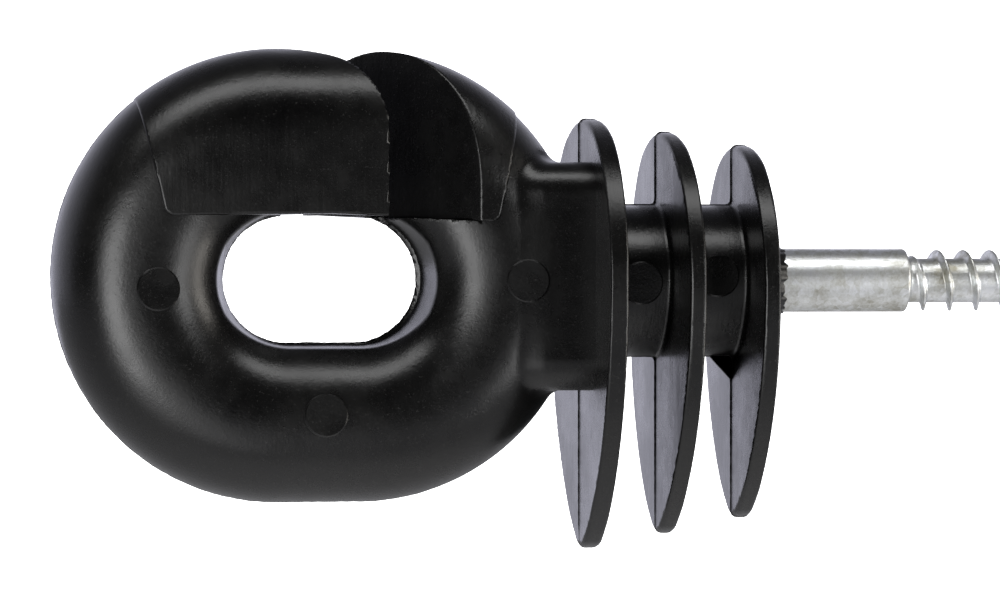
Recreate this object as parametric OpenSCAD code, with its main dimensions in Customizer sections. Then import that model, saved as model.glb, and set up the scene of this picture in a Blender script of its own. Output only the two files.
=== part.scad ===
// Ring insulator for an electric fence.
// One black moulding (ring, neck and three drip sheds) cast round one steel screw.
// +X runs along the screw towards its point, +Z is up, and the mould parts on the plane Y = 0.
// The origin is on the screw's axis, where the bare shank leaves the smallest shed.

/* [Ring] */
// Radius of the ring's round ends, seen from the front
ring_end_r = 21; // [20.8:0.1:22.5]
// Length of the straight stretch between the two round ends
ring_straight = 7.7; // [6:0.1:10]
// Thickness of the ring from front to back, which is also the diameter of its rounded rim
ring_depth = 16; // [15.6:0.1:17]
// Distance of the ring's centre in front of the origin
ring_reach = 40.9; // [40.6:0.1:42]
// Height of the ring's centre above the screw's axis
ring_rise = 0.4; // [0:0.1:1]

/* [Eye] */
// Radius of the eye's round ends at the parting plane
eye_r = 6.05; // [5.5:0.05:6.3]
// Length of the eye's straight stretch
eye_straight = 6.7; // [5:0.1:7]
// Distance of the eye's centre in front of the origin
eye_reach = 40.4; // [40.2:0.1:41.2]
// Height of the eye's centre above the screw's axis
eye_rise = 0.15; // [0:0.05:0.6]
// Radius of the rounding from the ring's face into the eye
eye_flare_r = 3.6; // [3:0.1:4]
// How much wider the eye is at the end of its land than at the parting plane
eye_draft = 0.7; // [0.3:0.1:0.9]

/* [Lips] */
// How far the lips stand proud of the ring
lip_proud = 0.2; // [0.1:0.05:0.4]
// Width of the lip block at the roof of the eye
lip_width = 30.9; // [29:0.1:31.5]
// Lean of the lip block's two ends from upright
lip_lean = 13; // [10:1:16]
// Width of the conductor slot, square to its walls
slot_width = 6.4; // [6:0.1:6.6]
// Angle of the slot to the ring's faces' normal, seen from above
slot_angle = 42; // [41:1:45]
// Distance of the slot's middle in front of the origin, at the parting plane
slot_reach = 38.4; // [38:0.1:39]

/* [Neck] */
// Height of the block between the ring and the largest shed
block_height = 21.3; // [20:0.1:22]
// Thickness of the block from front to back
block_depth = 15; // [14.5:0.1:15.4]
// Corner radius of the block
block_corner_r = 4.5; // [3:0.1:5]
// Radius of the round neck between the sheds
neck_r = 7.1; // [6.5:0.05:7.3]

/* [Sheds] */
// Number of sheds
shed_count = 3; // [3:1:3]
// Distance from one shed to the next
shed_pitch = 7.3; // [6.9:0.1:7.6]
// Thickness of a shed at the parting plane
shed_root = 1.7; // [1.6:0.1:2]
// Thickness of a shed at its near and far edges
shed_edge = 1.4; // [1.2:0.1:1.5]
// Half width of the largest shed, and how much each next one is narrower
shed_half_width = [15.1, 0.75];
// Height of the largest shed above the axis, and how much each next one is lower
shed_top = [15.15, 1.2];
// Drop of the largest shed below the axis, and how much each next one is shorter
shed_drop = [25.3, 1.45];
// Half width of a shed's flat tip
shed_tip = 1.1; // [0.8:0.1:1.5]

/* [Screw] */
// Radius of the steel shank
shank_r = 3; // [2.95:0.05:3.1]
// Length of smooth shank outside the plastic
shank_length = 15; // [12:0.5:20]
// Length of shank cast into the plastic
embedded_length = 27; // [25:0.5:27.5]
// Depth of the retaining grooves
groove_depth = 0.4; // [0.3:0.05:0.5]
// Size of the pressed anchor wings: along the axis, front to back, and across
wing_size = [6, 3.2, 8.4];
// Radius of the thread's crest
thread_crest_r = 2.92; // [2.8:0.01:2.92]
// Radius of the thread's root
thread_root_r = 2.1; // [2:0.05:2.3]
// Pitch of the wood thread
thread_pitch = 2.6; // [2.4:0.1:3]
// Length of the full thread
thread_length = 29; // [25:0.5:35]
// Length of the tapered point
point_length = 6; // [5:0.5:8]

/* [Hidden] */

plastic = [0.07, 0.07, 0.075];
zinc = [0.72, 0.73, 0.74];
clear = 1; // overshoot of a cutting solid
$fn = 96;

rim_r = ring_depth / 2;
ring_top = ring_rise + ring_end_r;
eye_roof = eye_rise + eye_r;
land_half = rim_r - eye_flare_r;
shed_back = shed_root / 2;
groove_width = 1.2;
groove_places = [0, -9, -16];
wing_gap = 1; // bare shank beyond the wings
thread_steps = 12; // slices in one turn of the thread
ridge_half = 45; // half the angle that the ridge's foot takes up
crest_half = 6; // half the angle that its crest takes up
root_steps = 6; // points along the rest of the root
point_tip_scale = 0.12;
thread_overlap = 0.5; // thread hidden in the end of the shank

// Lays a solid that was drawn about +Z along +X.
module along_x() {
    rotate([0, 90, 0]) children();
}

// Turns a solid that was drawn about +Z so that its axis runs from front to back.
module front_to_back() {
    rotate([90, 0, 0]) children();
}

// A racetrack-shaped solid: the profile, given as radius and depth, goes round both ends and along
// the straight stretch between them.
module racetrack(straight) {
    for (side = [-1, 1])
        translate([side * straight / 2, 0, 0])
            rotate([0, 0, -90 * side])
                rotate_extrude(angle = 180) children();
    for (half = [0, 180])
        rotate([0, 0, half])
            translate([-straight / 2, 0, 0])
                rotate([90, 0, 90])
                    linear_extrude(straight) children();
}

// Half section of the ring's blank: flat faces with a fully rounded rim.
module ring_profile(extra) {
    translate([0, -rim_r - extra])
        square([ring_end_r - rim_r, 2 * (rim_r + extra)]);
    intersection() {
        translate([ring_end_r - rim_r, 0]) circle(rim_r + extra);
        translate([ring_end_r - rim_r, -ring_depth]) square([ring_depth, 2 * ring_depth]);
    }
}

module ring_blank(extra = 0) {
    translate([-ring_reach, 0, ring_rise])
        front_to_back() racetrack(ring_straight) ring_profile(extra);
}

// Half section of the tool that cuts the eye: a drafted land on each side of the parting plane,
// then a flare that rounds the ring's faces into the eye.
module eye_profile() {
    land_r = eye_r + eye_draft;
    mouth_r = land_r + eye_flare_r;
    difference() {
        polygon([
            [0, -rim_r - clear], [mouth_r, -rim_r - clear], [mouth_r, -land_half], [land_r, -land_half],
            [eye_r, 0],
            [land_r, land_half], [mouth_r, land_half], [mouth_r, rim_r + clear], [0, rim_r + clear]
        ]);
        for (side = [-1, 1])
            translate([mouth_r, side * land_half]) circle(eye_flare_r);
    }
}

module eye_cutter() {
    translate([-eye_reach, 0, eye_rise])
        front_to_back() racetrack(eye_straight) eye_profile();
}

// The part of the ring over the eye that a slide in the mould forms. Its faces run straight down to
// the roof of the eye, and it stands a little proud of the ring.
module lips() {
    rise = ring_top + clear - eye_roof;
    spread = rise * tan(lip_lean);
    intersection() {
        ring_blank(lip_proud);
        translate([-eye_reach, 0, eye_roof])
            rotate([90, 0, 0])
                linear_extrude(2 * ring_depth, center = true)
                    polygon([
                        [-lip_width / 2, 0], [lip_width / 2, 0],
                        [lip_width / 2 + spread, rise], [-lip_width / 2 - spread, rise]
                    ]);
    }
}

// Slanting slot through the lips, which a conductor is twisted into.
module conductor_slot() {
    translate([-slot_reach, 0, eye_roof - clear])
        rotate([0, 0, slot_angle])
            translate([-slot_width / 2, -2 * ring_depth, 0])
                cube([slot_width, 4 * ring_depth, ring_top]);
}

// Block that joins the ring to the largest shed, with rounded long edges.
module block() {
    back = -shed_back - (shed_count - 1) * shed_pitch;
    front = -ring_reach + ring_straight / 2 + ring_end_r - rim_r;
    length = back - front;
    wide = block_depth - 2 * block_corner_r;
    tall = block_height - 2 * block_corner_r;
    translate([front, 0, ring_rise])
        rotate([90, 0, 90])
            linear_extrude(length) {
                square([block_depth, tall], center = true);
                square([wide, block_height], center = true);
                for (y = [-wide / 2, wide / 2], z = [-tall / 2, tall / 2])
                    translate([y, z]) circle(block_corner_r);
            }
}

module neck() {
    length = (shed_count - 1) * shed_pitch;
    translate([-shed_back - length, 0, 0])
        along_x() cylinder(r = neck_r, h = length);
}

// Outline of a shed: a round top that runs down into two arcs and a flat tip.
module shed_outline(half_width, top, drop) {
    middle = top - half_width;
    fall = middle + drop;
    offset = (shed_tip * shed_tip + fall * fall - half_width * half_width)
        / (2 * (half_width - shed_tip));
    intersection() {
        translate([0, middle]) circle(half_width);
        translate([-half_width, middle]) square([2 * half_width, half_width]);
    }
    intersection() {
        translate([-offset, middle]) circle(half_width + offset);
        translate([offset, middle]) circle(half_width + offset);
        translate([-half_width, -drop]) square([2 * half_width, fall]);
    }
}

// A shed is thickest at the parting plane and drafts towards its front and back edges.
module shed(number) {
    half_width = shed_half_width[0] - number * shed_half_width[1];
    top = shed_top[0] - number * shed_top[1];
    drop = shed_drop[0] - number * shed_drop[1];
    middle = -shed_back - (shed_count - 1 - number) * shed_pitch;
    translate([middle, 0, 0])
        intersection() {
            rotate([90, 0, 90])
                linear_extrude(shed_root, center = true) shed_outline(half_width, top, drop);
            translate([0, 0, -drop - clear])
                linear_extrude(top + drop + 2 * clear)
                    polygon([
                        [-shed_root / 2, 0], [-shed_edge / 2, -half_width], [shed_edge / 2, -half_width],
                        [shed_root / 2, 0], [shed_edge / 2, half_width], [-shed_edge / 2, half_width]
                    ]);
        }
}

// Steel inside the plastic: the shank, its retaining grooves, and wings that stop it turning.
module embedded_steel() {
    difference() {
        translate([-embedded_length, 0, 0]) along_x() cylinder(r = shank_r, h = embedded_length);
        for (place = groove_places)
            translate([place - groove_width, 0, 0])
                along_x() difference() {
                    cylinder(r = shank_r + clear, h = groove_width);
                    cylinder(r = shank_r - groove_depth, h = groove_width);
                }
    }
    translate([-embedded_length + wing_gap, -wing_size[1] / 2, -wing_size[2] / 2])
        cube(wing_size);
}

// Section of a one-start wood thread, as points by angle: a narrow ridge and a wide root.
thread_section = concat(
    [[thread_root_r, -ridge_half], [thread_crest_r, -crest_half], [thread_crest_r, crest_half]],
    [for (i = [0 : root_steps - 1])
        [thread_root_r, ridge_half + i * (360 - 2 * ridge_half) / root_steps]]
);
thread_points = [for (p = thread_section) p[0] * [cos(p[1]), sin(p[1])]];

module wood_thread() {
    turns = thread_length / thread_pitch;
    point_turns = point_length / thread_pitch;
    translate([shank_length - thread_overlap, 0, 0])
        along_x() {
            linear_extrude(thread_length, twist = -360 * turns, slices = ceil(turns * thread_steps),
                           segments = len(thread_points))
                polygon(thread_points);
            translate([0, 0, thread_length])
                rotate([0, 0, 360 * turns])
                    linear_extrude(point_length, twist = -360 * point_turns, scale = point_tip_scale,
                                   slices = ceil(point_turns * thread_steps),
                                   segments = len(thread_points))
                        polygon(thread_points);
        }
}

module insulator_body() {
    color(plastic)
        difference() {
            union() {
                difference() {
                    ring_blank();
                    eye_cutter();
                }
                lips();
                block();
                neck();
                for (number = [0 : shed_count - 1])
                    shed(number);
            }
            conductor_slot();
            embedded_steel();
        }
}

module screw() {
    color(zinc) {
        embedded_steel();
        along_x() cylinder(r = shank_r, h = shank_length);
        wood_thread();
    }
}

insulator_body();
screw();
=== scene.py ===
import math

import bpy
import numpy as np
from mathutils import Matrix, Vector


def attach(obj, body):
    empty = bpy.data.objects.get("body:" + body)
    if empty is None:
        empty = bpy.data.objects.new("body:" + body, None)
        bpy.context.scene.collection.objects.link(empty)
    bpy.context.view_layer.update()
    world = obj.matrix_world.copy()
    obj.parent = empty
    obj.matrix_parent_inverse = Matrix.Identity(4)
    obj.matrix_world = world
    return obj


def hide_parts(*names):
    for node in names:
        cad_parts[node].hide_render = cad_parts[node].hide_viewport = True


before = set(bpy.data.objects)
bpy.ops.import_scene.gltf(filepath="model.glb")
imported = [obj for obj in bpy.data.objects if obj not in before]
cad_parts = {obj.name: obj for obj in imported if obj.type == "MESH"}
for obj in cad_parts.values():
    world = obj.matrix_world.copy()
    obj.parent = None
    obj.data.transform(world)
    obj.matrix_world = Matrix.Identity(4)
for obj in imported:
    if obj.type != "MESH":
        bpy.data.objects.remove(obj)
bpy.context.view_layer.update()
scene = bpy.context.scene


# ---- View ----
# The camera stands a third of a metre in front of the insulator and a little towards the ring's
# end, level with the screw, and looks at the sheds' side so that their ring faces show.
camera_place = Vector((-0.0768, -0.3623, 0.00087))
camera_yaw = 8.32
camera_pitch = -0.43
frame_width = 36
focal_length = 3.9 * frame_width

camera = bpy.data.cameras.new("view")
camera.sensor_width = frame_width
camera.lens = focal_length
camera.clip_start = 0.01
camera.clip_end = 20
camera_object = bpy.data.objects.new("view", camera)
camera_object.location = camera_place
camera_object.rotation_euler = (math.radians(90 + camera_pitch), 0, math.radians(-camera_yaw))
scene.collection.objects.link(camera_object)
scene.camera = camera_object
scene.view_settings.view_transform = "Standard"


# ---- Moulding: ring ----
# The ring, its slotted lips and the block behind it are the front end of one black moulding.
# Two mould halves meet on the plane Y = 0, and a slide forms the lips over the eye.
# Each shape is a field in millimetres, below zero inside, and the mesh is drawn on its zero.
ring_end = 21.0
ring_straight = 7.7
ring_at = (-40.9, 0.4)
ring_half_depth = 8.0
eye_end = 6.15
eye_straight = 6.3
eye_at = (-40.6, 0.12)
eye_fill = 0.6
eye_draft = 0.05
eye_end_draft = 0.12
eye_step = (0.25, 0.2)
eye_roughness = 0.08
eye_edge = 0.12
rim_power = 2.2
roof = 6.15
roof_fall = (0.014, 0.05)
lip_at = -40.25
lip_half_width = 15.4
lip_lean = math.tan(math.radians(13))
lip_corner = 0.8
lip_overlap = 0.7
slot_left = (-44.0, math.radians(47.5))
slot_right = (-34.26, math.radians(42.5))
slot_gap = 0.25
block_half = (7.92, 10.6)
block_corner = 3.0
block_x = (-27.0, -15.8)
block_sinks_before = -20.5
block_blend = 0.9
fin_half_width = 0.2


def smooth_joint(a, b, r):
    """Union of two fields, with the corner between them filled out over a width of about r."""
    near = np.maximum(1 - np.abs(a - b) / r, 0)
    return np.minimum(a, b) - near**2 * r / 4


def smooth_overlap(a, b, r):
    """What two fields share, with the edge between them rounded to radius r."""
    outer = np.hypot(np.maximum(a + r, 0), np.maximum(b + r, 0))
    return np.minimum(np.maximum(a, b), -r) + outer


def from_spine(x, z, place, straight):
    """Distance from a racetrack's straight spine, square to the parting plane."""
    return np.hypot(np.maximum(np.abs(x - place[0]) - straight / 2, 0), z - place[1])


def rounded_bar(across, deep, half_across, half_deep):
    """A bar of nearly elliptical section, from where a point lies across and through it."""
    size = (np.abs(across / half_across) ** rim_power + np.abs(deep / half_deep) ** rim_power)
    return (size ** (1 / rim_power) - 1) * np.minimum(half_across, half_deep)


def ragged(x, z):
    """A number from 0 to 1 that wanders along the parting line."""
    wave = np.sin(2.9 * x + 1.9 * np.sin(1.7 * z)) * np.sin(3.7 * z + 2.3 * np.sin(1.3 * x))
    return 0.5 + 0.5 * wave


def lip_side(x, z):
    """Distance outside the leaning ends of the lips."""
    reach = np.abs(x - lip_at) - lip_half_width - (z - roof) * lip_lean
    return reach / math.hypot(1, lip_lean)


def lip_floor(x):
    """Height of the lips' lower edge, which falls a little away from the middle of the eye."""
    return roof - roof_fall[0] * np.maximum(lip_at - x, 0) - roof_fall[1] * np.maximum(x - lip_at, 0)


def beside_slot(x, y):
    """Distance outside the slanted slot that the rope is twisted in through."""
    past = [(x - at) * math.cos(angle) + y * math.sin(angle) for at, angle in (slot_left, slot_right)]
    return np.maximum(-past[0], past[1])


def ring_field(x, y, z):
    """The ring with its eye and block, cut away where the lips and the slot stand in it."""
    to_rim = ring_end - from_spine(x, z, ring_at, ring_straight)
    from_eye = from_spine(x, z, eye_at, eye_straight) - eye_end
    half = (to_rim + from_eye + eye_fill) / 2
    tube = rounded_bar(half - to_rim, y, np.maximum(half, 4), ring_half_depth)
    behind = np.clip(0.5 + y / 0.2, 0, 1)
    wall = from_spine(x + eye_step[0] * behind, z, eye_at, eye_straight) - eye_end
    wall = wall + (eye_step[1] + eye_roughness * ragged(5 * x, 6 * z)) * behind
    at_end = np.clip((np.abs(x - eye_at[0]) - eye_straight / 2) / eye_end, 0, 1)
    draft = eye_draft + eye_end_draft * at_end**2
    ring = smooth_overlap(tube, draft * np.abs(y) - wall, eye_edge)

    tall = np.abs(z - ring_at[1]) - block_half[1] + block_corner
    deep = np.abs(y) - block_half[0] + block_corner
    section = np.hypot(np.maximum(tall, 0), np.maximum(deep, 0)) + np.minimum(np.maximum(tall, deep), 0)
    sunk = 0.12 * np.maximum(block_sinks_before - x, 0) ** 2
    block = np.maximum(section - block_corner + sunk, np.maximum(block_x[0] - x, x - block_x[1]))
    body = smooth_joint(ring, block, block_blend)

    fin = 0.05 + 0.04 * ragged(x, z)
    body = body - fin * np.exp(-((y / fin_half_width) ** 2))
    inside_lips = np.maximum(lip_side(x, z), roof - z) + lip_overlap
    inside_slot = np.maximum(beside_slot(x, y) - slot_gap, lip_floor(x) - z)
    return np.maximum(body, -np.minimum(inside_lips, inside_slot))


def ruler(low, high, step, fine_step=None, fine_places=(), reach=0.0):
    """Marks along an axis, closer together near the places that need it."""
    marks = [low]
    while marks[-1] < high:
        near = any(abs(marks[-1] - place) < reach for place in fine_places)
        marks.append(marks[-1] + (fine_step if near else step))
    return np.array(marks)


def mirrored(marks):
    """The same marks on both sides of zero."""
    return np.concatenate((-marks[::-1], marks))


def slopes(field, points, reach=0.02):
    """The field's gradient at each point."""
    columns = []
    for axis in range(3):
        shift = np.zeros(3)
        shift[axis] = reach
        columns.append(field(*(points + shift).T) - field(*(points - shift).T))
    return np.stack(columns, axis=1) / (2 * reach)


def shell(field, marks):
    """Dual contouring: one vertex in each cell that the surface crosses, one quad on each edge."""
    value = field(*np.meshgrid(*marks, indexing="ij"))
    inside = value < 0
    cells = np.array(value.shape) - 1
    owner, spots, quads = [], [], []
    for axis in range(3):
        second, third = (axis + 1) % 3, (axis + 2) % 3
        first = np.take(inside, range(cells[axis]), axis=axis)
        last = np.take(inside, range(1, cells[axis] + 1), axis=axis)
        start = np.argwhere(first != last)
        kept = (start[:, second] > 0) & (start[:, third] > 0)
        kept &= (start[:, second] < cells[second]) & (start[:, third] < cells[third])
        start = start[kept]
        end = start.copy()
        end[:, axis] += 1
        low, high = value[tuple(start.T)], value[tuple(end.T)]
        spot = np.stack([marks[i][start[:, i]] for i in range(3)], axis=1)
        gap = marks[axis][end[:, axis]] - spot[:, axis]
        spot[:, axis] += gap * low / (low - high)
        around = []
        for back_second, back_third in ((1, 1), (0, 1), (0, 0), (1, 0)):
            cell = start.copy()
            cell[:, second] -= back_second
            cell[:, third] -= back_third
            around.append(np.ravel_multi_index(cell.T, cells))
            owner.append(around[-1])
            spots.append(spot)
        around = np.stack(around, axis=1)
        around[low > 0] = around[low > 0][:, ::-1]
        quads.append(around)
    owner, spots, quads = np.concatenate(owner), np.concatenate(spots), np.concatenate(quads)
    used, owner = np.unique(owner, return_inverse=True)
    points = place_points(field, marks, cells, used, owner, spots)
    return points, np.searchsorted(used, quads)


def place_points(field, marks, cells, used, owner, spots):
    """Puts each cell's vertex where the surface's slopes at its crossings agree, so edges stay."""
    count = np.bincount(owner)[:, None]
    middle = np.stack([np.bincount(owner, spots[:, i]) for i in range(3)], axis=1) / count
    slope = slopes(field, spots)
    slope /= np.maximum(np.linalg.norm(slope, axis=1, keepdims=True), 1e-9)
    reach = (slope * (spots - middle[owner])).sum(axis=1)
    pull = np.stack([np.bincount(owner, slope[:, i] * reach) for i in range(3)], axis=1)
    hold = np.empty((len(used), 3, 3))
    for i in range(3):
        for j in range(3):
            hold[:, i, j] = np.bincount(owner, slope[:, i] * slope[:, j])
    hold += 0.1 * np.eye(3)
    points = middle + np.linalg.solve(hold, pull[:, :, None])[:, :, 0]
    corner = np.unravel_index(used, cells)
    low = np.stack([marks[i][corner[i]] for i in range(3)], axis=1)
    high = np.stack([marks[i][corner[i] + 1] for i in range(3)], axis=1)
    points = np.clip(points, low, high)
    for _ in range(2):
        slope = slopes(field, points)
        size = np.maximum((slope**2).sum(axis=1), 0.1)
        points = points - (field(*points.T) / size)[:, None] * slope
        points = np.clip(points, low - 0.02, high + 0.02)
    return points


def mould(name, field, marks, unbend=None):
    """A mesh object on a field's zero, in metres, shaded by the field's own slope.

    unbend turns the grid's places into real ones, so that the grid can follow a leaning edge.
    """
    if unbend is None:
        points, quads = shell(field, marks)
    else:
        points, quads = shell(lambda *place: field(*unbend(*place)), marks)
        points = np.stack(unbend(*points.T), axis=1)
    mesh = bpy.data.meshes.new(name)
    mesh.from_pydata((points / 1000).tolist(), [], quads.tolist())
    mesh.validate()
    mesh.shade_smooth()
    facing = slopes(field, points)
    facing /= np.maximum(np.linalg.norm(facing, axis=1, keepdims=True), 1e-9)
    mesh.normals_split_custom_set_from_vertices(facing.tolist())
    piece = bpy.data.objects.new(name, mesh)
    scene.collection.objects.link(piece)
    return piece


ring_step = 0.3
depth_marks = mirrored(ruler(0.1, 8.6, ring_step, 0.2, (0,), 0.9))
ring = mould(
    "ring", ring_field, (ruler(-66.0, -15.5, ring_step), depth_marks, ruler(-21.1, 22.4, ring_step))
)


# ---- Moulding: lips ----
# The two lips over the eye are part of the same moulding, formed by a slide in the mould. They
# fill the ring out to flat sides down to the eye's roof, and stand a hair proud of it.
lip_proud = 0.18
lip_edge = 0.1
slot_edge = 0.1
crown_edge = 1.4
crown_from = -38.0
lip_step = 0.18


def lip_field(x, y, z):
    """The filled-out crown of the ring between two leaning ends, with the slot cut through."""
    half_lip = ring_half_depth + lip_proud
    to_rim = ring_end - from_spine(x, z, ring_at, ring_straight)
    crown = rounded_bar(np.maximum(ring_half_depth - to_rim, 0), y, half_lip, half_lip)
    outline = smooth_overlap(lip_side(x, z), lip_floor(x) - z, lip_corner)
    on_crown = np.clip(1 - np.abs(y) / 5, 0, 1) * np.clip((crown_from - x) / 3, 0, 1)
    lips = smooth_overlap(crown, outline, lip_edge)
    return smooth_overlap(lips, -beside_slot(x, y), slot_edge + crown_edge * on_crown)


def lean(u, y, z):
    """Spreads the grid's columns as the lips' ends spread, so that its lines run along them."""
    return lip_at + u * (1 + (z - roof) * lip_lean / lip_half_width), y, z


lips = mould(
    "ring_lips",
    lip_field,
    (mirrored(ruler(lip_step / 2, 15.9, lip_step)), depth_marks, ruler(5.0, 22.0, lip_step)),
    lean,
)


# ---- Moulding: sheds ----
# Three drip sheds and the round necks between them are the back end of the same moulding.
# Each shed is a round disc drawn out to a pointed tail, thickest at the parting line.
sheds = (
    {"at": -15.36, "half": 0.93, "width": 15.1, "top": 15.15, "drop": 25.2, "lean": 0.028, "dish": -0.1},
    {"at": -8.15, "half": 0.84, "width": 14.35, "top": 13.95, "drop": 23.85, "lean": 0.019, "dish": 0.27},
    {"at": -0.85, "half": 0.84, "width": 13.6, "top": 12.75, "drop": 22.4, "lean": 0.011, "dish": 0.15},
)
shed_tip = 1.1
shed_draft = 0.08
shed_edge = 0.22
tip_edge = 0.6
tip_corner = 0.8
neck_r = 7.1
neck_ends = (-15.4, -0.9)
neck_blend = 0.45
shed_fin_half_width = 0.11
web_reach = 2.2
web_drop = 2.4
web_half = 0.3
stack_step = 0.36


def shed_field(x, y, z, shed):
    """One shed: a circle above, two long arcs and a blunt tip below, a little warped by cooling."""
    width, drop = shed["width"], shed["drop"]
    middle = shed["top"] - width
    fall = middle + drop
    offset = (shed_tip**2 + fall**2 - width**2) / (2 * (width - shed_tip))
    above = np.hypot(y, z - middle) - width
    below = np.hypot(np.abs(y) + offset, z - middle) - width - offset
    outline = smooth_overlap(np.where(z > middle, above, below), -drop - z, tip_corner)
    aside = y / width
    plane = shed["at"] - shed["lean"] * y + shed["dish"] * aside**2
    face = np.abs(x - plane) - shed["half"] + shed_draft * np.abs(aside)
    near_tip = np.clip(1 - (z + drop) / 3, 0, 1) + np.clip(1 - (shed["top"] - z) / 2, 0, 1)
    return smooth_overlap(outline, face, shed_edge + (tip_edge - shed_edge) * near_tip)


def stack_field(x, y, z):
    """The necks and sheds with the fin on their parting line and a web of flash under the last neck."""
    discs = shed_field(x, y, z, sheds[0])
    for shed in sheds[1:]:
        discs = np.minimum(discs, shed_field(x, y, z, shed))
    neck = np.maximum(np.hypot(y, z) - neck_r, np.maximum(neck_ends[0] - x, x - neck_ends[1]))
    body = smooth_joint(neck, discs, neck_blend)
    fin = (0.1 + 0.04 * ragged(x, z)) * np.clip((z + 26) / 4, 0.3, 1)
    body = body - fin * np.exp(-((y / shed_fin_half_width) ** 2))
    face = sheds[2]["at"] - sheds[2]["half"]
    web = np.maximum(x - face - 0.3, (face - x) - (z + neck_r + web_drop) * web_reach / web_drop)
    web = np.maximum(web, z + neck_r - 0.4)
    return np.minimum(body, np.maximum(web, np.abs(y) - web_half))


stack = mould(
    "shed_stack",
    stack_field,
    (
        ruler(-17.2, 0.9, 0.42, 0.2, [shed["at"] for shed in sheds], 1.35),
        mirrored(ruler(0.06, 15.4, stack_step, 0.12, (0,), 0.4)),
        ruler(-25.6, 15.5, stack_step),
    ),
)


# ---- Moulding: collar ----
# Where the steel leaves the smallest shed, plastic has crept along the shank in a thin ragged skin.
collar_rings = ((-0.4, 4.1), (0.0, 3.75), (0.12, 3.4), (0.4, 3.25), (9.0, 3.16), (9.0, 3.1))
collar_inner = 2.9
collar_length = 3.0
collar_around = 160


def collar_mesh():
    """Rings of points from the shed out to the ragged end, and back inside the shank."""
    points, faces = [], []
    rows = len(collar_rings) + 2
    for i in range(collar_around):
        turn = 2 * math.pi * i / collar_around
        torn = collar_length + 0.12 * math.sin(3 * turn + 0.6) + 0.1 * math.sin(7 * turn)
        torn += 0.1 * math.sin(17 * turn) + 0.06 * math.sin(29 * turn)
        for row, (along, radius) in enumerate(collar_rings):
            reach = min(along, torn - 0.06 * (row == len(collar_rings) - 2))
            points.append((reach, radius * math.cos(turn), radius * math.sin(turn)))
        for reach in (torn + 0.05, collar_rings[0][0]):
            points.append((reach, collar_inner * math.cos(turn), collar_inner * math.sin(turn)))
    for i in range(collar_around):
        j = (i + 1) % collar_around
        for row in range(rows):
            after = (row + 1) % rows
            faces.append([i * rows + row, j * rows + row, j * rows + after, i * rows + after])
    mesh = bpy.data.meshes.new("collar")
    mesh.from_pydata([[c / 1000 for c in point] for point in points], [], faces)
    mesh.shade_smooth()
    return mesh


collar = bpy.data.objects.new("collar", collar_mesh())
scene.collection.objects.link(collar)


# ---- Moulding: ejector marks ----
# Round pins pushed the plastic out of the near mould half. Each left a flat disc that stands a
# hair proud of the surface round it: two on the ring, one on the block and one on each neck.
ring_marks = ((-56.3, -0.75), (-41.0, -12.3), (-22.35, 0.0))
neck_marks = ((-11.6, -0.22), (-4.4, 0.45))
disc_sizes = {"Radius": 2.0, "Depth": 0.6, "Edge": 0.14}
disc_proud = 0.08
disc_sides = 72


def link_all(links, pairs):
    """Links each output to its input."""
    for start, end in pairs:
        links.new(start, end)


def disc_tree():
    """Puts a shallow disc with a chamfered edge on each point, turned the way the point faces."""
    tree = bpy.data.node_groups.new("ejector_marks", "GeometryNodeTree")
    face = tree.interface
    face.new_socket("Geometry", in_out="INPUT", socket_type="NodeSocketGeometry")
    for name in disc_sizes:
        face.new_socket(name, in_out="INPUT", socket_type="NodeSocketFloat")
    face.new_socket("Material", in_out="INPUT", socket_type="NodeSocketMaterial")
    face.new_socket("Geometry", in_out="OUTPUT", socket_type="NodeSocketGeometry")
    nodes, links = tree.nodes, tree.links
    given = nodes.new("NodeGroupInput").outputs

    body = nodes.new("GeometryNodeMeshCone")
    rim = nodes.new("GeometryNodeMeshCone")
    face_r = nodes.new("ShaderNodeMath")
    face_r.operation = "SUBTRACT"
    for disc in (body, rim):
        disc.inputs["Vertices"].default_value = disc_sides
    link_all(links, (
        (given["Radius"], face_r.inputs[0]),
        (given["Edge"], face_r.inputs[1]),
        (given["Radius"], body.inputs["Radius Top"]),
        (given["Radius"], body.inputs["Radius Bottom"]),
        (given["Depth"], body.inputs["Depth"]),
        (face_r.outputs[0], rim.inputs["Radius Top"]),
        (given["Radius"], rim.inputs["Radius Bottom"]),
        (given["Edge"], rim.inputs["Depth"]),
    ))
    lift = nodes.new("ShaderNodeCombineXYZ")
    links.new(given["Depth"], lift.inputs["Z"])
    raised = nodes.new("GeometryNodeTransform")
    links.new(rim.outputs["Mesh"], raised.inputs["Geometry"])
    links.new(lift.outputs[0], raised.inputs["Translation"])
    joined = nodes.new("GeometryNodeJoinGeometry")
    links.new(raised.outputs[0], joined.inputs[0])
    links.new(body.outputs["Mesh"], joined.inputs[0])
    facing = nodes.new("GeometryNodeInputNamedAttribute")
    facing.data_type = "FLOAT_VECTOR"
    facing.inputs["Name"].default_value = "facing"
    turned = nodes.new("FunctionNodeAlignRotationToVector")
    turned.axis = "Z"
    spots = nodes.new("GeometryNodeInstanceOnPoints")
    link_all(links, (
        (facing.outputs["Attribute"], turned.inputs["Vector"]),
        (turned.outputs[0], spots.inputs["Rotation"]),
        (given["Geometry"], spots.inputs["Points"]),
        (joined.outputs[0], spots.inputs["Instance"]),
    ))
    real = nodes.new("GeometryNodeRealizeInstances")
    painted = nodes.new("GeometryNodeSetMaterial")
    link_all(links, (
        (spots.outputs[0], real.inputs[0]),
        (real.outputs[0], painted.inputs["Geometry"]),
        (given["Material"], painted.inputs["Material"]),
        (painted.outputs[0], nodes.new("NodeGroupOutput").inputs[0]),
    ))
    return tree


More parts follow.
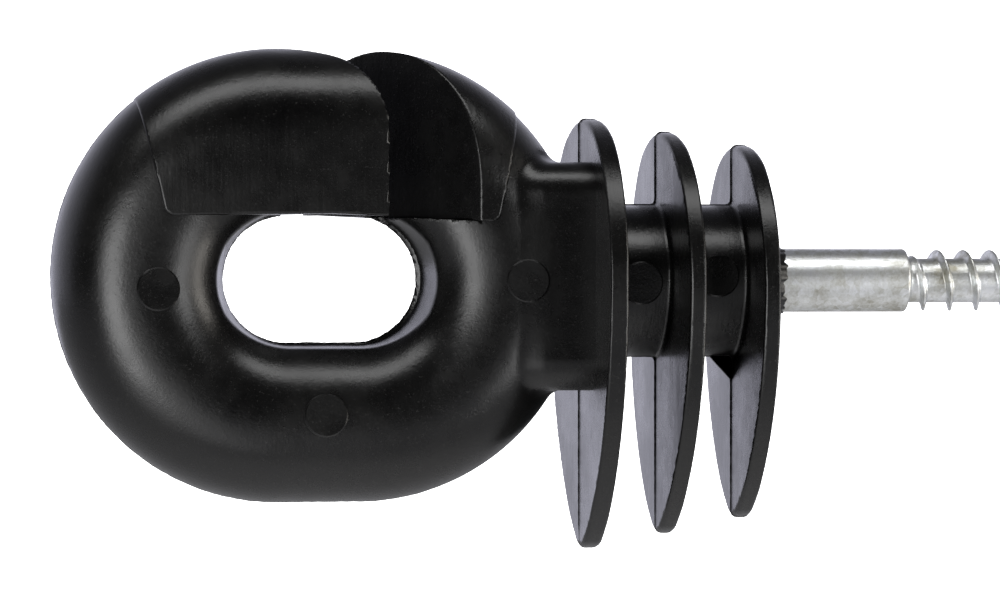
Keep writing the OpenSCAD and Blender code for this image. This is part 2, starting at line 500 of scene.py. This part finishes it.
def mark_spots():
    """A point for each mark, sunk so that its disc stands a hair proud, and the way it faces."""
    places, facings = [], []
    for field, marks in ((ring_field, ring_marks), (stack_field, neck_marks)):
        for x, z in marks:
            outside, inside = -9.0, -6.0
            for _ in range(24):
                middle = (outside + inside) / 2
                if field(np.array([x]), np.array([middle]), np.array([z]))[0] > 0:
                    outside = middle
                else:
                    inside = middle
            facing = Vector(slopes(field, np.array([[x, inside, z]]))[0]).normalized()
            places.append(Vector((x, inside, z)) + (disc_proud - disc_sizes["Depth"]) * facing)
            facings.extend(facing)
    mesh = bpy.data.meshes.new("ejector_spots")
    mesh.from_pydata(places, [], [])
    mesh.attributes.new("facing", "FLOAT_VECTOR", "POINT").data.foreach_set("vector", facings)
    return mesh


def grow(name, tree, start, sizes, material):
    """Runs a node tree on a mesh once and keeps the result as a plain mesh object."""
    holder = bpy.data.objects.new(name + "_maker", start)
    scene.collection.objects.link(holder)
    maker = holder.modifiers.new(name, "NODES")
    maker.node_group = tree
    for item in tree.interface.items_tree:
        if item.in_out == "INPUT" and item.name in sizes:
            maker[item.identifier] = sizes[item.name]
        elif item.in_out == "INPUT" and item.name == "Material":
            maker[item.identifier] = material
    made = holder.evaluated_get(bpy.context.evaluated_depsgraph_get())
    piece = bpy.data.objects.new(name, bpy.data.meshes.new_from_object(made))
    scene.collection.objects.link(piece)
    holder.modifiers.remove(maker)
    bpy.data.objects.remove(holder)
    return piece


# ---- Moulding: plastic ----
# Black polyethylene straight from the mould: a faint orange-peel skin that scatters light in
# soft bands, with fine pits, rubbed places and a little dust.
def mixer(nodes, links, kind, first, second, factor=None):
    """A maths node fed by sockets or numbers."""
    node = nodes.new("ShaderNodeMath")
    node.operation = kind
    for socket, value in zip(node.inputs, (first, second, factor)):
        if value is None:
            continue
        if isinstance(value, (int, float)):
            socket.default_value = value
        else:
            links.new(value, socket)
    return node.outputs[0]


def noise(nodes, links, place, scale, detail=2.0, roughness=0.5):
    """Noise of a given scale per metre."""
    node = nodes.new("ShaderNodeTexNoise")
    node.inputs["Scale"].default_value = scale
    node.inputs["Detail"].default_value = detail
    node.inputs["Roughness"].default_value = roughness
    links.new(place, node.inputs["Vector"])
    return node.outputs["Fac"]


def ramp(nodes, links, value, stops):
    """Maps a value through a colour ramp of grey or coloured stops."""
    node = nodes.new("ShaderNodeValToRGB")
    while len(node.color_ramp.elements) < len(stops):
        node.color_ramp.elements.new(0.5)
    for element, (position, colour) in zip(node.color_ramp.elements, stops):
        element.position = position
        element.color = (*colour, 1) if isinstance(colour, tuple) else (colour, colour, colour, 1)
    links.new(value, node.inputs["Fac"])
    return node.outputs["Color"]


def bump(nodes, links, height, strength, distance, below=None):
    """A bump layer, on top of the one below it."""
    node = nodes.new("ShaderNodeBump")
    node.inputs["Strength"].default_value = strength
    node.inputs["Distance"].default_value = distance
    links.new(height, node.inputs["Height"])
    if below is not None:
        links.new(below, node.inputs["Normal"])
    return node.outputs["Normal"]


def black_plastic(name, stroke, stroke_depth):
    """The moulding's material. stroke is how a mould face's polishing marks are drawn out."""
    material = bpy.data.materials.new(name)
    material.use_nodes = True
    nodes, links = material.node_tree.nodes, material.node_tree.links
    shader = nodes["Principled BSDF"]
    place = nodes.new("ShaderNodeTexCoord").outputs["Object"]

    cloud = noise(nodes, links, place, 90, 3)
    mottle = noise(nodes, links, place, 520, 4, 0.65)
    speck = noise(nodes, links, place, 3800, 3, 0.75)
    blend = mixer(nodes, links, "MULTIPLY_ADD", mottle, 0.5, cloud)
    colour = ramp(nodes, links, blend, (
        (0.45, (0.0012, 0.0012, 0.0013)),
        (0.95, (0.0035, 0.0034, 0.0032)),
    ))
    dust = ramp(nodes, links, speck, ((0.6, 0.0), (0.76, 1.0)))
    dusty = nodes.new("ShaderNodeMix")
    dusty.data_type = "RGBA"
    dusty.inputs["B"].default_value = (0.035, 0.034, 0.033, 1)
    links.new(mixer(nodes, links, "MULTIPLY", dust, 0.5), dusty.inputs["Factor"])
    links.new(colour, dusty.inputs["A"])
    links.new(dusty.outputs["Result"], shader.inputs["Base Color"])

    rough = ramp(nodes, links, blend, ((0.45, 0.19), (0.9, 0.31)))
    rough = mixer(nodes, links, "MULTIPLY_ADD", dust, 0.12, rough)
    links.new(rough, shader.inputs["Roughness"])
    shader.inputs["IOR"].default_value = 1.5

    drawn_out = nodes.new("ShaderNodeMapping")
    drawn_out.inputs["Scale"].default_value = stroke
    links.new(place, drawn_out.inputs["Vector"])
    strokes = noise(nodes, links, drawn_out.outputs[0], 2600, 2, 0.6)
    wave = bump(nodes, links, cloud, 0.5, 0.00025)
    peel = bump(nodes, links, mottle, 0.35, 0.00005, wave)
    brushed = bump(nodes, links, strokes, stroke_depth, 0.00004, peel)
    grain = bump(nodes, links, speck, 0.35, 0.00004, brushed)
    links.new(grain, shader.inputs["Normal"])
    return material


plastic = black_plastic("black_plastic", (1, 1, 1), 0.2)
slide_plastic = black_plastic("slide_polished_plastic", (1, 1, 0.06), 0.35)
shed_plastic = black_plastic("turned_mould_plastic", (1, 0.3, 0.12), 0.45)
marks = grow("ejector_marks", disc_tree(), mark_spots(), disc_sizes, plastic)
marks.data.transform(((0.001, 0, 0, 0), (0, 0.001, 0, 0), (0, 0, 0.001, 0), (0, 0, 0, 1)))
for piece, finish in ((ring, plastic), (lips, slide_plastic), (stack, shed_plastic), (collar, plastic)):
    piece.data.materials.append(finish)
for piece in (ring, lips, stack, collar, marks):
    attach(piece, "root")
    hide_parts("insulator_body")


# ---- Screw ----
# A zinc-plated steel wood screw, 6 mm thick. Its grooved and winged end is cast into the plastic,
# and its coarse right-hand thread holds it in the post.
screw_sizes = {
    "Start": -27.0,
    "End": 49.48,
    "Shank Radius": 3.0,
    "Root Radius": 2.1,
    "Crest Radius": 2.92,
    "Pitch": 2.6,
    "Thread Start": 15.0,
    "Point Start": 43.5,
}
screw_along = 640
screw_around = 72
flank = (0.72, 0.97)
thread_run_in = (-0.2, 2.2)
waist = (-0.05, 0.35)
point_fullness = 0.75
blunt_start = (0.35, 0.3)
join_distance = 0.000003


def screw_tree():
    """A sheet of points rolled round the X axis, whose radius follows the shank and the thread."""
    tree = bpy.data.node_groups.new("screw", "GeometryNodeTree")
    face = tree.interface
    face.new_socket("Geometry", in_out="INPUT", socket_type="NodeSocketGeometry")
    for name in screw_sizes:
        face.new_socket(name, in_out="INPUT", socket_type="NodeSocketFloat")
    face.new_socket("Material", in_out="INPUT", socket_type="NodeSocketMaterial")
    face.new_socket("Geometry", in_out="OUTPUT", socket_type="NodeSocketGeometry")
    nodes, links = tree.nodes, tree.links
    given = nodes.new("NodeGroupInput").outputs

    def sum_of(kind, first, second=None, third=None):
        return mixer(nodes, links, kind, first, second, third)

    def between(value, low, high):
        node = nodes.new("ShaderNodeMapRange")
        node.interpolation_type = "SMOOTHSTEP"
        for socket, given_value in zip(node.inputs, (value, low, high)):
            if isinstance(given_value, (int, float)):
                socket.default_value = given_value
            else:
                links.new(given_value, socket)
        return node.outputs[0]

    sheet = nodes.new("GeometryNodeMeshGrid")
    sheet.inputs["Size X"].default_value = 1
    sheet.inputs["Size Y"].default_value = 1
    sheet.inputs["Vertices X"].default_value = screw_along
    sheet.inputs["Vertices Y"].default_value = screw_around + 1
    position = nodes.new("ShaderNodeSeparateXYZ")
    links.new(nodes.new("GeometryNodeInputPosition").outputs[0], position.inputs[0])
    share = sum_of("ADD", position.outputs[0], 0.5)
    turn = sum_of("ADD", position.outputs[1], 0.5)
    length = sum_of("SUBTRACT", given["End"], given["Start"])
    along = sum_of("MULTIPLY_ADD", share, length, given["Start"])

    from_start = sum_of("SUBTRACT", along, given["Thread Start"])
    wound = sum_of("SUBTRACT", sum_of("DIVIDE", from_start, given["Pitch"]), turn)
    phase = sum_of("FRACT", wound)
    off_crest = sum_of("MULTIPLY", sum_of("ABSOLUTE", sum_of("SUBTRACT", phase, 0.5)), 2.0)
    ridge = between(off_crest, *flank)
    grown = between(from_start, *thread_run_in)
    ridge = sum_of("MULTIPLY", ridge, grown)

    to_end = sum_of("SUBTRACT", given["End"], along)
    point_length = sum_of("SUBTRACT", given["End"], given["Point Start"])
    taper = sum_of("MINIMUM", sum_of("DIVIDE", to_end, point_length), 1.0)
    slim = sum_of("POWER", sum_of("MAXIMUM", taper, 0.0), point_fullness)
    root = sum_of("MULTIPLY", given["Root Radius"], slim)
    height = sum_of("SUBTRACT", given["Crest Radius"], given["Root Radius"])
    thread = sum_of("MULTIPLY_ADD", sum_of("MULTIPLY", ridge, slim), height, root)
    stepped = between(from_start, *waist)
    thinner = sum_of("SUBTRACT", thread, given["Shank Radius"])
    radius = sum_of("MULTIPLY_ADD", stepped, thinner, given["Shank Radius"])
    closed_start = between(sum_of("SUBTRACT", along, given["Start"]), 0.0, blunt_start[0])
    radius = sum_of("MULTIPLY", radius, sum_of("POWER", closed_start, blunt_start[1]))

    angle = sum_of("MULTIPLY", turn, 2 * math.pi)
    placed = nodes.new("ShaderNodeCombineXYZ")
    links.new(along, placed.inputs[0])
    links.new(sum_of("MULTIPLY", radius, sum_of("COSINE", angle)), placed.inputs[1])
    links.new(sum_of("MULTIPLY", radius, sum_of("SINE", angle)), placed.inputs[2])
    metres = nodes.new("ShaderNodeVectorMath")
    metres.operation = "SCALE"
    metres.inputs["Scale"].default_value = 0.001
    links.new(placed.outputs[0], metres.inputs[0])

    moved = nodes.new("GeometryNodeSetPosition")
    links.new(sheet.outputs["Mesh"], moved.inputs["Geometry"])
    links.new(metres.outputs[0], moved.inputs["Position"])
    joined = nodes.new("GeometryNodeMergeByDistance")
    joined.inputs["Distance"].default_value = join_distance
    links.new(moved.outputs[0], joined.inputs["Geometry"])
    smooth = nodes.new("GeometryNodeSetShadeSmooth")
    links.new(joined.outputs[0], smooth.inputs["Geometry"])
    real = nodes.new("GeometryNodeRealizeInstances")
    links.new(smooth.outputs[0], real.inputs[0])
    painted = nodes.new("GeometryNodeSetMaterial")
    links.new(real.outputs[0], painted.inputs["Geometry"])
    links.new(given["Material"], painted.inputs["Material"])
    links.new(painted.outputs[0], nodes.new("NodeGroupOutput").inputs[0])
    return tree


def zinc_plate():
    """Bright zinc over drawn steel wire: spangled, with faint drawing marks along it."""
    material = bpy.data.materials.new("zinc_plate")
    material.use_nodes = True
    nodes, links = material.node_tree.nodes, material.node_tree.links
    shader = nodes["Principled BSDF"]
    place = nodes.new("ShaderNodeTexCoord").outputs["Object"]
    shader.inputs["Metallic"].default_value = 1.0

    spangle = nodes.new("ShaderNodeTexVoronoi")
    spangle.inputs["Scale"].default_value = 1500
    links.new(place, spangle.inputs["Vector"])
    stretch = nodes.new("ShaderNodeMapping")
    stretch.inputs["Scale"].default_value = (0.12, 1, 1)
    links.new(place, stretch.inputs["Vector"])
    drawn = noise(nodes, links, stretch.outputs[0], 2200, 3)
    stain = noise(nodes, links, place, 260, 4, 0.6)
    fleck = noise(nodes, links, place, 3800, 2, 0.7)
    tone = mixer(nodes, links, "MULTIPLY_ADD", spangle.outputs["Color"], 0.25, stain)
    tone = mixer(nodes, links, "MULTIPLY_ADD", fleck, 0.35, tone)
    colour = ramp(nodes, links, tone, (
        (0.45, (0.30, 0.28, 0.21)),
        (0.75, (0.62, 0.63, 0.61)),
        (1.05, (0.88, 0.90, 0.92)),
    ))
    links.new(colour, shader.inputs["Base Color"])
    links.new(ramp(nodes, links, tone, ((0.4, 0.5), (1.0, 0.36))), shader.inputs["Roughness"])
    lines = bump(nodes, links, drawn, 0.4, 0.00004)
    pits = bump(nodes, links, fleck, 0.5, 0.00004, lines)
    dents = bump(nodes, links, stain, 0.25, 0.00012, pits)
    links.new(dents, shader.inputs["Normal"])
    return material


zinc = zinc_plate()
screw = grow("wood_screw", screw_tree(), bpy.data.meshes.new("screw_start"), screw_sizes, zinc)
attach(screw, "root")
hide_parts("screw")


# ---- Studio ----
# A white tent lights the part from all round, brightest behind and above, with a pale floor below.
floor_low = -0.5
floor_size = 4.0
lit_middle = (-0.04, 0, 0)

floor_mesh = bpy.data.meshes.new("floor")
corners = [(-1, -1), (1, -1), (1, 1), (-1, 1)]
floor_points = [(floor_size * x, floor_size * y, floor_low) for x, y in corners]
floor_mesh.from_pydata(floor_points, [], [(0, 1, 2, 3)])
floor = bpy.data.objects.new("floor", floor_mesh)
scene.collection.objects.link(floor)
floor_paint = bpy.data.materials.new("pale_floor")
floor_paint.use_nodes = True
paper = floor_paint.node_tree.nodes["Principled BSDF"].inputs
paper["Base Color"].default_value = (0.8, 0.8, 0.8, 1)
paper["Roughness"].default_value = 0.8
paper["Emission Color"].default_value = (1, 1, 1, 1)
paper["Emission Strength"].default_value = 0.22
floor_mesh.materials.append(floor_paint)

tent = bpy.data.worlds.new("tent")
tent.use_nodes = True
scene.world = tent
nodes, links = tent.node_tree.nodes, tent.node_tree.links
direction = nodes.new("ShaderNodeSeparateXYZ")
links.new(nodes.new("ShaderNodeTexCoord").outputs["Generated"], direction.inputs[0])
away = mixer(nodes, links, "MULTIPLY_ADD", direction.outputs["Y"], 0.5, 0.5)
up = mixer(nodes, links, "MULTIPLY_ADD", direction.outputs["Z"], 0.5, 0.5)
behind = ramp(nodes, links, away, (
    (0.0, 0.004),
    (0.3, 0.02),
    (0.5, 0.09),
    (0.7, (0.6, 0.6, 0.68)),
    (0.85, (0.8, 0.8, 0.93)),
    (1.0, (0.85, 0.85, 1.0)),
))
above = ramp(nodes, links, up, (
    (0.0, 1.0),
    (0.3, 0.8),
    (0.45, 0.5),
    (0.7, 0.4),
    (0.85, 0.1),
    (1.0, 0.04),
))
glow = nodes.new("ShaderNodeMix")
glow.data_type = "RGBA"
glow.blend_type = "MULTIPLY"
glow.inputs["Factor"].default_value = 1
links.new(behind, glow.inputs["A"])
links.new(above, glow.inputs["B"])
seen = nodes.new("ShaderNodeMix")
seen.data_type = "RGBA"
seen.inputs["B"].default_value = (1, 1, 1, 1)
links.new(nodes.new("ShaderNodeLightPath").outputs["Is Camera Ray"], seen.inputs["Factor"])
links.new(glow.outputs["Result"], seen.inputs["A"])
background = nodes["Background"]
background.inputs["Strength"].default_value = 2.5
links.new(seen.outputs["Result"], background.inputs["Color"])


def softbox(name, place, size, power, tint=(1, 1, 1)):
    """A rectangular area light aimed at the middle of the part."""
    lamp = bpy.data.lights.new(name, "AREA")
    lamp.shape = "RECTANGLE"
    lamp.size, lamp.size_y = size
    lamp.energy = power
    lamp.color = tint
    box = bpy.data.objects.new(name, lamp)
    box.location = place
    box.rotation_euler = (Vector(lit_middle) - Vector(place)).to_track_quat("-Z", "Y").to_euler()
    box.visible_camera = False
    scene.collection.objects.link(box)


def around(side, rise, reach=0.5):
    """A place at an angle to the right of and above the line to the camera's side of the part."""
    side, rise = math.radians(side), math.radians(rise)
    flat = reach * math.cos(rise)
    return flat * math.sin(side) + lit_middle[0], -flat * math.cos(side), reach * math.sin(rise)


softbox("top_box", around(0, 66), (0.7, 0.19), 1.6)
softbox("left_box", around(-33, -5), (0.18, 0.34), 0.95)
softbox("low_front_box", around(-27, -14), (0.42, 0.5), 0.58)
softbox("right_front_box", around(42, -3), (0.15, 0.3), 0.62)
softbox("right_box", around(72, 0), (0.2, 0.4), 1.2, (1, 0.95, 0.88))
